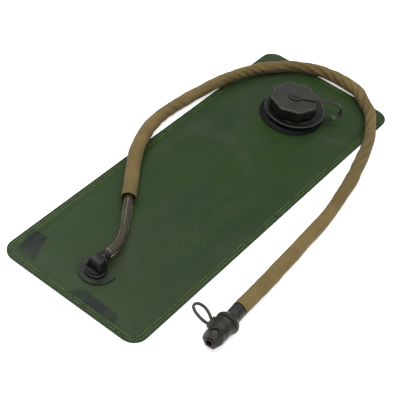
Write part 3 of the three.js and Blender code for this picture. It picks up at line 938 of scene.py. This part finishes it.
tetherSettings = {
    "ring": (3.56, 144.74), "width": 6.6, "thickness": 1.5, "edge": 0.35,
    # the strap's middle line, and the plan direction in degrees its width is square to
    "path": [
        (33, 150.2, 12.9), (35.6, 152.7, 12.9), (39.2, 156.8, 13), (43.4, 162.2, 13.4), (46.6, 167.2, 15.2),
        (48, 170.6, 19), (47, 171.6, 23.8), (43.8, 170.2, 28), (38.6, 166.2, 30.8), (32, 161.8, 31.6),
        (24, 157, 31.2), (15, 151.7, 31.1), (8, 147.4, 31.1),
    ],
    "facing": [46, 48, 50, 50, 46, 42, 38, 34, 32, 31, 31, 31, 31],
    "ringOutline": [
        (25, 12.1), (34, 12.1), (34, 14.5), (33.2, 14.5),
        (32.6, 13.7), (26.2, 13.7), (25.6, 14.1), (25, 14.1),
    ],
    "eyeOutline": [
        (2.7, 30.3), (8, 30.3), (8, 31.9), (7.2, 31.9), (6.9, 31.6), (5.6, 31.6), (5.3, 31.9), (2.7, 31.9),
    ],
}


def makeTether():
    tether = tetherSettings
    ring = rounded("tetherRing", tether["ringOutline"], 0.25, 160)
    settle(ring, *tether["ring"])
    eye = rounded("tetherEye", tether["eyeOutline"], 0.2, 96)
    settle(eye, fillerSettings["x"], fillerSettings["y"])
    marks = [Vector(p) * mm for p in tether["path"]]
    path = smoothRoute(marks, 0.0006)
    places = distancesAlong(marks)
    w, t, c = tether["width"] / 2, tether["thickness"] / 2, tether["edge"]
    section = [(w, -t + c), (w, t - c), (w - c, t), (0, t), (-w + c, t), (-w, t - c),
               (-w, -t + c), (-w + c, -t), (0, -t), (w - c, -t)]
    verts = []
    for i, here in enumerate(path):
        ahead = (path[min(i + 1, len(path) - 1)] - path[max(i - 1, 0)]).normalized()
        far = i / (len(path) - 1) * places[-1]
        facing = math.radians(float(np.interp(far, places, tether["facing"])))
        across = Vector((math.sin(facing), -math.cos(facing), 0))
        rise = across.cross(ahead).normalized()
        across = ahead.cross(rise)
        verts += [here + across * a * mm + rise * b * mm for a, b in section]
    strap = tidyNormals(fromPoints("strap", verts, (), ringFaces(len(path), len(section))))
    tether = joined("tether", ring, strap, eye)
    return finished(tether, 35, strapFinish())


# Outlet: shield with raised ridges, round socket, hooded elbow, and the ring that clamps the hose
outletSettings = {
    "x": 0, "y": -186, "half": 19.4, "top": 8, "bottom": -16.5, "corner": 3, "ridgeAt": (1.0, 3.4, 5.6),
    "socket": [
        (6.4, 3.4), (7.8, 3.4), (7.8, 6.2), (11, 6.2), (11, 7.2), (10.4, 7.9),
        (9.4, 8.3), (8.4, 8.3), (6.4, 8.2),
    ],
    "barrel": [(2.7, 0), (6.3, 0), (6.3, 7.8), (5.6, 8.6), (2.7, 8.6)],
    "foot": [(0, 8.4), (8.9, 8.4), (8.9, 9.6), (8.3, 10.4), (0, 10.6)],
    "spigot": [(0, 3.6), (6.1, 3.6), (6.1, 10.5), (0, 10.5)],
    "barb": [(0, 0), (2.7, 0), (2.7, 17.2), (2.2, 18), (0, 18)],
    "hood": {
        "width": 19, "depth": 13, "low": 8.5, "high": 20.8, "narrow": 0.68, "shallow": 0.86,
        "forward": (1.5, 2.4), "round": 1.9,
    },
    "nozzle": (-1, 14), "clampAt": 11.2,
    "clamp": [
        (5.1, 0), (5.9, 0.4), (6, 1.5), (5.7, 1.9), (5.7, 2.3), (6, 2.7), (6, 4.4), (5.6, 5), (5.1, 5),
    ],
}


def bezierPoints(corners, count):
    a, b, c, d = (Vector(corner) for corner in corners)
    result = []
    for k in range(count):
        t = k / count
        ab, bc, cd = a.lerp(b, t), b.lerp(c, t), c.lerp(d, t)
        result.append(ab.lerp(bc, t).lerp(bc.lerp(cd, t), t))
    return result


def shieldOutline(inset):
    shield = outletSettings
    corner = shield["corner"]
    half, top, bottom = shield["half"] - inset, shield["top"] - inset, shield["bottom"] + inset
    right = bezierPoints([(0, bottom), (9, bottom), (half, -10), (half, top - corner)], 26)
    bend = bezierPoints([(half, top - corner), (half, top - 1), (half - 1, top), (half - corner, top)], 6)
    side = [*right, *bend, Vector((half - corner, top))]
    return [*side, *(Vector((-v.x, v.y)) for v in reversed(side[1:]))]


# The shield's outline at each inset and height, from its foot over the ridges to its middle
def makeShield():
    levels = [(0.15, 4.25), (0, 4.5), (0, 4.95), (0.25, 5.2), (0.75, 5.2)]
    for start in outletSettings["ridgeAt"]:
        levels += [(start, 5.2), (start + 0.25, 5.65), (start + 0.5, 5.8), (start + 0.8, 5.8),
                   (start + 1.05, 5.65), (start + 1.3, 5.2)]
    levels.append((7.2, 5.2))
    rings = [[Vector((v.x, v.y, z)) * mm for v in shieldOutline(inset)] for inset, z in levels]
    verts = [vert for ring in rings for vert in ring]
    shield = tidyNormals(fromPoints("outletShield", verts, (), ringFaces(len(rings), len(rings[0]))))
    settle(shield, outletSettings["x"], outletSettings["y"])
    return finished(shield, 40, shieldFinish())


def makeElbow():
    outlet = outletSettings
    hood = outlet["hood"]
    middle = (hood["low"] + hood["high"]) / 2
    tall = hood["high"] - hood["low"]
    bpy.ops.mesh.primitive_cube_add(size=1)
    block = justAdded("elbowHood")
    for vertex in block.data.vertices:
        up = vertex.co.z > 0
        wide = hood["width"] * (hood["narrow"] if up else 1)
        deep = hood["depth"] * (hood["shallow"] if up else 1)
        vertex.co = (
            vertex.co.x * wide * mm, (vertex.co.y * deep + hood["forward"][up]) * mm,
            (middle + vertex.co.z * tall) * mm)
    bevel(block, hood["round"] * mm, 5, 20)
    spigot = turned("elbowSpigot", outlet["spigot"], 48)
    foot = rounded("elbowFoot", outlet["foot"], 0.5, 96)
    barrel = rounded("elbowBarrel", outlet["barrel"], 0.6, 64)
    barb = turned("elbowBarb", outlet["barb"], 32)
    for part in (barrel, barb):
        settle(part, outlet["nozzle"][0], 0, outlet["nozzle"][1], sideways)
    elbow = joined("outletElbow", block, spigot, foot, barrel, barb)
    settle(elbow, outlet["x"], outlet["y"])
    return finished(elbow, 35, glossFinish())


def makeSocket():
    outlet = outletSettings
    socket = rounded("outletSocket", outlet["socket"], 0.4, 96)
    settle(socket, outlet["x"], outlet["y"])
    clamp = rounded("nozzleClamp", outlet["clamp"], 0.2, 64)
    settle(clamp, outlet["nozzle"][0], outlet["y"] + outlet["clampAt"], outlet["nozzle"][1], sideways)
    for part in (socket, clamp):
        smooth(part, 40)
        glossFinish().wear(part)
    return socket, clamp


# Bite valve, built along +Z from hose to mouth with +Y up, then laid along the row's -Y
valveSettings = {
    "place": (131, -133.5, 12.4), "yaw": 3.5,
    "adapter": [
        (0, 12), (5.15, 12), (5.15, 0), (7.3, 0), (7.75, 0.6), (7.75, 2.2), (7.35, 2.5), (7.35, 2.9),
        (7.7, 3.3), (7.75, 13.2), (7.3, 14), (5, 14), (5, 31.5), (0, 31.5),
    ],
    "collar": [
        (6.8, 14.3), (8.2, 14.3), (9.1, 15.6), (11.5, 18.7), (12.2, 19.8), (12.3, 20.7), (11.9, 21),
        (11.9, 21.4), (12.3, 21.7), (12.2, 22.8), (11.4, 23.4), (6.8, 23.4),
    ],
    "body": [
        (3.8, 34), (7.6, 32.5), (7.6, 23.7), (10.5, 23.7), (11.2, 24.4), (11.1, 25.9), (10.2, 27.3),
        (9.8, 28.3), (9.8, 36.6), (9.5, 36.8), (9.5, 37.1), (9.8, 37.3), (9.8, 37.7), (9.5, 37.9),
        (9.5, 38.2), (9.8, 38.4), (9.8, 49.4), (9.2, 50), (3.8, 50),
    ],
    "lip": [(3.2, 47.3), (3.5, 47.3), (3.5, 50.3), (5, 50.3), (5, 50.9), (4.6, 51.3), (3.2, 51.3)],
    "button": [
        (0, -3.2), (2.2, -3.2), (2.2, -1.6), (1.2, -1.2), (1.2, 1.4), (2.2, 1.8), (2.2, 6.6), (4, 6.6),
        (4, 7.6), (3.5, 8.1), (3.0, 8.1), (2.7, 7.8), (0, 7.8),
    ],
    "grips": 36, "gripDepth": 0.16, "gripFrom": 11.2,
    "flats": 6, "flatsFrom": 41.5, "flatsOut": 10.2, "slope": 19, "turned": 2.4,
    "lug": (5.6, 6, 11.8), "lugAt": (-10.7, 0, 29.9), "emblemAt": (0, 9.7, 31),
    "emblem": [(2.7, -1.6), (3.5, -1.6), (3.5, 0.3), (2.7, 0.3)],
    "dot": [(0, -1.6), (1.3, -1.6), (1.3, 0.3), (0, 0.3)],
    "buttonAt": 44.2,
    "loop": [
        (-11.6, 0, 26.4), (-14.2, 0, 26.4), (-18.4, 0.8, 23.7), (-24, 1.8, 21.2), (-30.5, 2.6, 20.9),
        (-34.2, 3, 23.4), (-34, 3, 27.4), (-29.5, 2.4, 31), (-23, 1.6, 33.2), (-18, 0.6, 33.7),
        (-14.2, 0, 33.4), (-11.6, 0, 33.4),
    ],
    "loopDiameter": 3.2,
    "spring": {"radius": 3.3, "wire": 0.25, "turns": 2.5, "low": 4.2, "pitch": 0.82},
    "springFloor": 3.95, "springPressed": 0.5,
}
layValve = (
    Matrix.Rotation(math.radians(valveSettings["yaw"]), 3, "Z") @ Matrix.Rotation(math.pi / 2, 3, "X"))


def toValve(piece):
    return settle(piece, *valveSettings["place"], layValve)


def makeAdapter():
    adapter = rounded("hoseAdapter", valveSettings["adapter"], 0.3, 96)
    barb = turned("adapterBarb", [(0, 1.5), (2.7, 1.5), (2.7, 12.5), (0, 12.5)], 32)
    joined("hoseAdapter", adapter, barb)
    return toValve(finished(adapter, 35, adapterFinish()))


def makeCollar():
    valve = valveSettings
    collar = rounded("lockCollar", valve["collar"], 0.35, 144)
    for vertex in collar.data.vertices:
        radius = math.hypot(vertex.co.x, vertex.co.y) / mm
        if radius > valve["gripFrom"]:
            angle = math.atan2(vertex.co.y, vertex.co.x)
            scale = 1 - valve["gripDepth"] / radius * (1 - math.cos(valve["grips"] * angle)) / 2
            vertex.co.x *= scale
            vertex.co.y *= scale
    return toValve(finished(collar, 35, valveFinish("collarPlastic", (0.015, 0.017, 0.011), 0.4)))


def makeValveBody():
    valve = valveSettings
    shell = turned("valveBody", softened(valve["body"], 0.22, 2), 96)
    for i in range(valve["flats"]):
        around = math.radians(valve["turned"] + i * 360 / valve["flats"]) + math.pi / 2
        slope = math.radians(valve["slope"])
        outward = Vector((math.cos(around), math.sin(around), 0))
        edit(shell, lambda: bpy.ops.mesh.bisect(
            plane_co=outward * valve["flatsOut"] * mm + Vector((0, 0, valve["flatsFrom"])) * mm,
            plane_no=outward * math.cos(slope) + Vector((0, 0, math.sin(slope))),
            use_fill=True, clear_outer=True))
    bevel(shell, 0.00035, 2, 14)
    bpy.ops.mesh.primitive_cube_add(size=1)
    lug = justAdded("loopLug")
    lug.data.transform(Matrix.Diagonal(Vector((*valve["lug"], 1)) * mm))
    settle(lug, *valve["lugAt"])
    bevel(lug, 0.0009, 3, 30)
    emblem = rounded("plainRing", valve["emblem"], 0.2, 48)
    dot = rounded("plainDot", valve["dot"], 0.2, 32)
    for part in (emblem, dot):
        settle(part, *valve["emblemAt"], sideways)
    seat = cylinder("buttonSeat", 4.4, 16)
    settle(seat, 0, 3.9 + 8, valve["buttonAt"], sideways)
    well = cylinder("buttonWell", 2.6, 25)
    settle(well, 0, 7.5, valve["buttonAt"], sideways)
    for tool in (seat, well):
        cutAway(shell, tool)
    joined("valveBody", shell, lug, emblem, dot)
    return toValve(finished(shell, 30, bodyFinish()))


def makeButton():
    button = rounded("biteButton", valveSettings["button"], 0.2, 64)
    settle(button, 0, 0, valveSettings["buttonAt"], sideways)
    return toValve(finished(button, 40, valveFinish("buttonPlastic", (0.031, 0.03, 0.025), 0.38)))


# Coil under the button, between the seat's floor and the button's disc
def makeSpring():
    piece = coiled("buttonCoil", valveSettings["spring"], 40, 12)
    settle(piece, 0, 0, valveSettings["buttonAt"], sideways)
    return toValve(finished(piece, 60, steelFinish()))


def makeLip():
    lip = rounded("mouthLip", valveSettings["lip"], 0.15, 64)
    smooth(lip, 40)
    mouldedFinish(
        "lipRubber", (0.013, 0.0085, 0.0045), (0.03, 0.022, 0.014), 0.5, Specular_IOR_Level=0.3).wear(lip)
    return toValve(lip)


def makeLoop():
    valve = valveSettings
    place = Matrix.Translation(Vector(valve["place"])) @ layValve.to_4x4()
    marks = [place @ Vector(p) * mm for p in valve["loop"]]
    path = smoothRoute(marks, 0.0007)
    radius = valve["loopDiameter"] / 2 * mm

    def plait(s, angle):
        rib = radius * (1 + 0.05 * math.sin(2 * math.pi * s / plaitPitch + 2 * angle) * math.sin(2 * angle))
        return rib * math.cos(angle), rib * math.sin(angle)

    loop = swept("pullLoop", path, 20, plait)
    smooth(loop, 60)
    braidFinish().wear(loop)
    return loop, path


def navyFinish():
    return mouldedFinish(
        "navyBase", (0.0028, 0.0052, 0.0055), (0.022, 0.036, 0.028), 0.38, Specular_IOR_Level=0.14)


# Skirt painted near black as shade on the sides, its rib crests with painted highlight, top warm grey, and a
# pale painted highlight line round the top's edge
def capFinish():
    finish = Finish("capPlastic", (0.02, 0.019, 0.0145), 0.42, Specular_IOR_Level=0.32)
    place = finish.place()
    height = finish.axis(place, "Z")
    patch = finish.noise(60, 4, 0.6)
    top = finish.mix(patch.between(0.35, 0.7), (0.017, 0.0165, 0.0125), (0.0235, 0.0225, 0.0175))
    # rib crests lighter: painted highlight
    ribs = finish.node("NewGeometry", output="Pointiness").between(0.5, 0.56)
    skirt = finish.mix(ribs * 0.7, (0.004, 0.005, 0.0032), (0.03, 0.033, 0.026))
    # skirt darker than the top: painted shade on the sides
    base = finish.mix(height.between(0.0282, 0.0294), skirt, top)
    # painted highlight: a pale line round the top's edge
    edge = height.between(0.0287, 0.0291) * (1 - height.between(0.0294, 0.02955))
    wearAndEdgeHighlight = edge * finish.noise(170, 3, 0.6).between(0.3, 0.6)
    finish.colour(finish.mix(wearAndEdgeHighlight * 0.8, base, (0.1, 0.1, 0.088)))
    finish.roughness(0.36 + patch * 0.14)
    finish.bump(finish.noise(1500, 3, 0.6) * 0.00003)
    return finish


# The ring's flat is darker than its rims and than the strap
def strapFinish():
    finish = Finish("strapPlastic", (0.02, 0.024, 0.017), 0.42, Specular_IOR_Level=0.3)
    height = finish.axis(finish.place(), "Z")
    patch = finish.noise(60, 4, 0.6)
    strap = finish.mix(patch.between(0.35, 0.7), (0.0165, 0.02, 0.0135), (0.0225, 0.0265, 0.019))
    base = finish.mix(height.between(0.0138, 0.0152), (0.0055, 0.007, 0.005), strap)
    rim = height.between(0.01395, 0.0143) * (1 - height.between(0.0146, 0.0149))
    finish.colour(finish.mix(rim * 0.8, base, (0.075, 0.085, 0.065)))
    finish.roughness(0.36 + patch * 0.14)
    finish.bump(finish.noise(2400, 3, 0.6) * 0.00002)
    return finish


# Ridges paler than the plate between them
def shieldFinish():
    finish = Finish("shieldFilm", (0.0105, 0.0165, 0.009), 0.32, Specular_IOR_Level=0.28)
    ridge = finish.axis(finish.place(), "Z").between(0.0054, 0.0058)
    patch = finish.noise(90, 4, 0.6).between(0.35, 0.7)
    plate = finish.mix(patch, (0.0085, 0.0145, 0.0072), (0.012, 0.018, 0.0105))
    finish.colour(finish.mix(ridge * 0.7, plate, (0.033, 0.045, 0.028)))
    finish.roughness(0.26 + patch * 0.12)
    finish.bump(finish.noise(2400, 3, 0.6) * 0.000012)
    return finish


def glossFinish():
    return mouldedFinish(
        "glossBlack", (0.006, 0.006, 0.0055), (0.07, 0.07, 0.068), 0.27, grain=0.000006,
        Specular_IOR_Level=0.24)


def valveFinish(name, colour, roughness):
    return mouldedFinish(name, colour, (0.12, 0.13, 0.1), roughness, grain=0.000014, Specular_IOR_Level=0.3)


# How far along the valve a point is, from the hose end
def valveReach(finish):
    x0, y0, _ = valveSettings["place"]
    yaw = math.radians(valveSettings["yaw"])
    place = finish.place()
    across = finish.axis(place, "X") - x0 * mm
    along = finish.axis(place, "Y") - y0 * mm
    return across * math.sin(yaw) - along * math.cos(yaw)


# The end round the mouth is stained dark brown
def bodyFinish():
    colour = (0.0165, 0.0165, 0.011)
    finish = valveFinish("bodyPlastic", colour, 0.38)
    stain = valveReach(finish).between(0.0478, 0.0496) * finish.noise(150, 3, 0.6).between(0.2, 0.45)
    base = finish.mottled(colour, finish.noise(60, 4, 0.6))
    finish.colour(finish.mix(stain * 0.85, base, (0.012, 0.0075, 0.0035)))
    return finish


# A darker rim where the adapter meets the sleeve
def adapterFinish():
    colour = (0.018, 0.018, 0.0165)
    finish = valveFinish("adapterPlastic", colour, 0.36)
    rim = 1 - valveReach(finish).between(0.0016, 0.0026)
    base = finish.mottled(colour, finish.noise(60, 4, 0.6))
    finish.colour(finish.mix(rim, base, (0.003, 0.003, 0.0028)))
    return finish


placeCamera()
placeLights()
placeFloor()
print("camera, lights and floor placed")

hosePiece, hoseRoute = makeHose()
carried("reservoir", "clear_hose", hosePiece, "drinking_hose")
sleevePiece = makeSleeve(hoseRoute)
carried("reservoir", "sleeve_fabric", sleevePiece, "hose_sleeve")
print("hose and sleeve laid")

frontFilm, backFilm = makeFilms()
carried("reservoir", "film", frontFilm, "front_panel")
carried("reservoir", "film", backFilm, "back_panel")
print("films made")

carried("reservoir", "navy_flange", makeBase(), "filler_flange")
carried("cap", "cap_plastic", makeCap(), "filler_cap")
carried("cap", "cap_plastic", makeCapButton(), "cap_button")
tetherPiece = makeTether()
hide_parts("tether_ring", "tether_band", "tether_eye")
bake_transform(tetherPiece)
print("filler made")

carried("reservoir", "film", makeShield(), "outlet_flange")
carried("reservoir", "elbow_black", makeElbow(), "outlet_elbow")
socketPiece, clampPiece = makeSocket()
carried("reservoir", "elbow_black", socketPiece, "outlet_socket")
carried("reservoir", "elbow_black", clampPiece, "nozzle_ring")
print("outlet made")

adapterPiece = makeAdapter()
carried("reservoir", "valve_plastic", adapterPiece, "hose_adapter")
collarPiece = makeCollar()
carried("lock", "valve_plastic", collarPiece, "lock_collar")
bodyPiece = makeValveBody()
carried("reservoir", "valve_plastic", bodyPiece, "valve_body")
buttonPiece = makeButton()
carried("bite", "valve_plastic", buttonPiece, "bite_button")
springPiece = makeSpring()
carried("reservoir", "spring_steel", springPiece, "button_spring")
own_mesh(springPiece)
lipPiece = makeLip()
carried("reservoir", "silicone", lipPiece, "mouth_lip")
loopPiece, loopRoute = makeLoop()
carried("reservoir", "loop_cord", loopPiece, "pull_loop")
print("bite valve made")

# pieces of the assembly that stay as they were built
capFinish().wear(nodes["filler_neck"])
siliconeFinish().wear(nodes["cap_gasket"], nodes["shutoff_sleeve"])
mouldedFinish("sealRubber", (0.012, 0.012, 0.012), (0.05, 0.05, 0.05), 0.6).wear(
    nodes["elbow_seal"], nodes["spigot_seal"])
print("inner pieces finished")

routeLength(hoseRoute)
routeLength(loopRoute)
